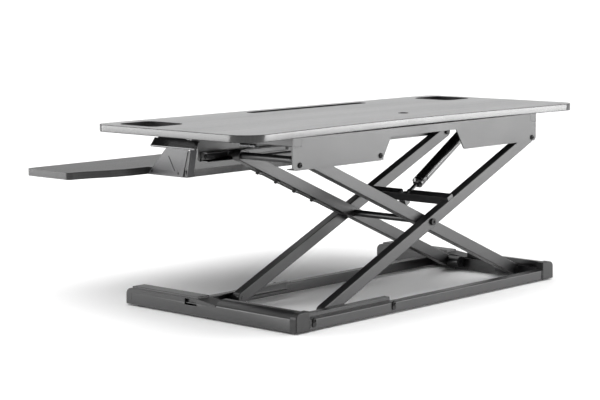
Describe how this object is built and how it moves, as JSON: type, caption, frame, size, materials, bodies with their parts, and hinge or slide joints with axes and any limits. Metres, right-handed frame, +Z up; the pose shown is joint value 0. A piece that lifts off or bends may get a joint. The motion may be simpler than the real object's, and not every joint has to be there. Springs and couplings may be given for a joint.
{
  "type": "standing desk converter",
  "caption": "Desktop riser with a scissor lift, a fixed keyboard tray, a gas spring, release levers under hand holes and a tablet slot.",
  "frame": {"origin": "on the floor, under the middle of the object's box at rest", "axes": "+Z up, +X to the right of the user, +Y away from the user, towards the back of the desk"},
  "size_m": [1.034, 0.7184, 0.3759],
  "materials": {
    "board_grey": "grey laminate on board with a fine grain",
    "edge_band": "grey edge band",
    "slot_liner": "dark moulded liner",
    "dark_liner": "black moulded plastic",
    "cap_grey": "black moulded cap",
    "frame_black": "satin black powder coat",
    "gloss_black": "gloss black lacquer",
    "bolt_black": "black oxide",
    "lever_black": "black lacquered lever",
    "bright_steel": "plain bright steel",
    "roller_nylon": "black nylon",
    "cable_black": "black cable sheath",
    "rubber": "black rubber"
  },
  "bodies": {
    "base": {"base_rail_front": "frame_black", "base_rail_rear": "frame_black", "foot_beam_left": "frame_black", "foot_beam_right": "frame_black", "foot_covers": "frame_black", "foot_end_caps": "cap_grey", "base_slide_channels": "frame_black", "base_pivot_brackets": "frame_black", "base_pivot_bolts": "bolt_black", "base_bolts": "bolt_black", "rubber_feet": "rubber"},
    "inner_arms": {"inner_arm_front": "frame_black", "inner_arm_rear": "frame_black", "centre_shaft": "frame_black", "centre_pivot_bolts": "bolt_black", "pivot_washers": "roller_nylon", "upper_roller_shaft": "frame_black", "cable_arm_run": "cable_black", "cable_clips": "dark_liner"},
    "outer_arms": {"outer_arm_front": "frame_black", "outer_arm_rear": "frame_black", "crossbeam": "frame_black", "crossbeam_end_tabs": "frame_black", "gas_rod_pin": "bright_steel", "release_head": "lever_black", "lower_roller_axles": "frame_black", "cable_head_run": "cable_black"},
    "top_frame": {"desktop": "board_grey", "desktop_edge_band": "edge_band", "tablet_slot_liner": "slot_liner", "hand_hole_liners": "dark_liner", "rear_top_panel": "frame_black", "front_top_panel": "frame_black", "top_crossbar_left": "frame_black", "top_crossbar_right": "frame_black", "gas_spring_hanger": "frame_black", "gas_spring_top_pin": "bolt_black", "top_slide_channels": "frame_black", "top_panel_bolts": "bolt_black", "desktop_screws": "bolt_black", "tray_bracket_left": "frame_black", "tray_bracket_right": "frame_black", "keyboard_tray": "board_grey", "tray_screws": "bolt_black", "tray_hanger_bar": "frame_black", "lever_housings": "frame_black", "lever_pins": "bright_steel", "lever_springs": "bright_steel", "cable_lever_run": "cable_black"},
    "gas_cylinder": {"gas_spring_cylinder": "gloss_black", "gas_spring_gland": "gloss_black", "gas_spring_top_eye": "bolt_black"},
    "gas_rod": {"gas_spring_rod": "bright_steel", "gas_rod_eye": "bolt_black"},
    "right_lever": {"release_lever_right": "lever_black"},
    "left_lever": {"release_lever_left": "lever_black"},
    "upper_wheel_rear": {"upper_roller_rear": "roller_nylon"},
    "upper_wheel_front": {"upper_roller_front": "roller_nylon"},
    "lower_wheel_rear": {"lower_roller_rear": "roller_nylon"},
    "lower_wheel_front": {"lower_roller_front": "roller_nylon"}
  },
  "joints": [
    {"name": "lift", "type": "hinge", "parent": "base", "child": "inner_arms", "pos_m": [-0.3553, 0.1962, 0.021], "axis": [0, -1, 0], "range_deg": [-18.9, 11.5]},
    {"name": "scissor_pivot", "type": "hinge", "parent": "inner_arms", "child": "outer_arms", "pos_m": [-0.03851, 0.1962, 0.16138], "axis": [0, -1, 0], "range_deg": [-23.2, 38]},
    {"name": "top_pivot", "type": "hinge", "parent": "outer_arms", "child": "top_frame", "pos_m": [-0.37203, 0.1962, 0.30918], "axis": [0, -1, 0], "range_deg": [-19, 11.6]},
    {"name": "gas_tilt", "type": "hinge", "parent": "top_frame", "child": "gas_cylinder", "pos_m": [-0.33603, 0.2008, 0.34518], "axis": [0, 1, 0], "range_deg": [-20.2, 12.4]},
    {"name": "gas_stroke", "type": "slide", "parent": "gas_cylinder", "child": "gas_rod", "axis": [0.8534, 0, -0.5212], "range_m": [-0.016, 0.0098]},
    {"name": "right_lever_pull", "type": "hinge", "parent": "top_frame", "child": "right_lever", "pos_m": [0.385, 0.0288, 0.35238], "axis": [0, -1, 0], "range_deg": [0, 12], "stiffness_Nm_per_rad": 2, "springref_deg": -8.59},
    {"name": "left_lever_pull", "type": "hinge", "parent": "top_frame", "child": "left_lever", "pos_m": [-0.385, 0.0288, 0.35238], "axis": [0, 1, 0], "range_deg": [0, 12], "stiffness_Nm_per_rad": 2, "springref_deg": -8.59},
    {"name": "upper_roller_spin_rear", "type": "hinge", "parent": "inner_arms", "child": "upper_wheel_rear", "pos_m": [0.29501, 0.3083, 0.30918], "axis": [0, 1, 0], "continuous": true},
    {"name": "upper_roller_spin_front", "type": "hinge", "parent": "inner_arms", "child": "upper_wheel_front", "pos_m": [0.29501, 0.0841, 0.30918], "axis": [0, 1, 0], "continuous": true},
    {"name": "lower_roller_spin_rear", "type": "hinge", "parent": "outer_arms", "child": "lower_wheel_rear", "pos_m": [0.27828, 0.3291, 0.021], "axis": [0, 1, 0], "continuous": true},
    {"name": "lower_roller_spin_front", "type": "hinge", "parent": "outer_arms", "child": "lower_wheel_front", "pos_m": [0.27828, 0.0633, 0.021], "axis": [0, 1, 0], "continuous": true}
  ],
  "couplings": [
    {"joint": "scissor_pivot", "follows": "lift", "ratio": -2},
    {"joint": "top_pivot", "follows": "lift", "ratio": 1},
    {"joint": "gas_tilt", "follows": "lift", "ratio": 1.058},
    {"joint": "gas_stroke", "follows": "lift", "m_per_rad": 0.0475}
  ]
}
